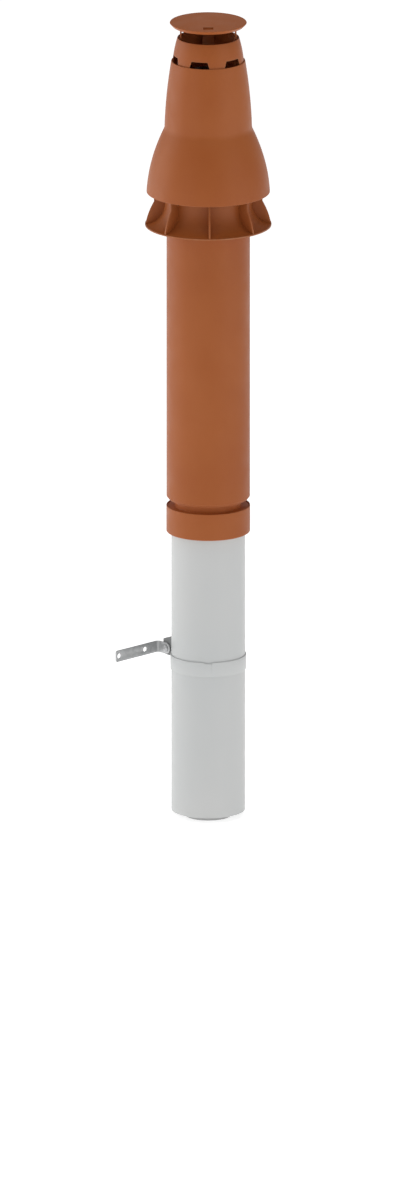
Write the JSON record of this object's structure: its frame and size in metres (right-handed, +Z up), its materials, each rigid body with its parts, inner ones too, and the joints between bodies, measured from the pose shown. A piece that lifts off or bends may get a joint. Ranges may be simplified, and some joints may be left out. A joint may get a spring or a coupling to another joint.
{
  "type": "roof flue terminal",
  "caption": "Concentric roof flue terminal with rain cap, ribbed brim under a bell hood, terracotta tube, collar, white pipe and wall bracket.",
  "frame": {"origin": "middle of the box around the part, at its lowest point; the axis of the pipes is 25.07 mm from it towards +X, because the bracket arm reaches out to -X", "axes": "+Z up along the pipes, -Y towards the front, where the rain cap has its recess"},
  "size_m": [0.2646, 0.2144, 1.3912],
  "materials": {
    "terracotta_plastic": "matt moulded",
    "white_metal": "satin white powder coat",
    "grey_plastic": "matt pale grey",
    "galvanised_steel": "dull galvanised"
  },
  "bodies": {
    "root": {"inner_flue_pipe": "grey_plastic", "outer_pipe": "white_metal", "collar": "terracotta_plastic", "collar_neck": "terracotta_plastic", "outer_tube": "terracotta_plastic", "deflector": "terracotta_plastic", "hood": "terracotta_plastic", "outlet_ring": "terracotta_plastic", "rain_cap": "terracotta_plastic", "bracket_strap": "white_metal", "bracket_arm": "galvanised_steel", "bracket_bolt": "galvanised_steel"}
  },
  "joints": []
}
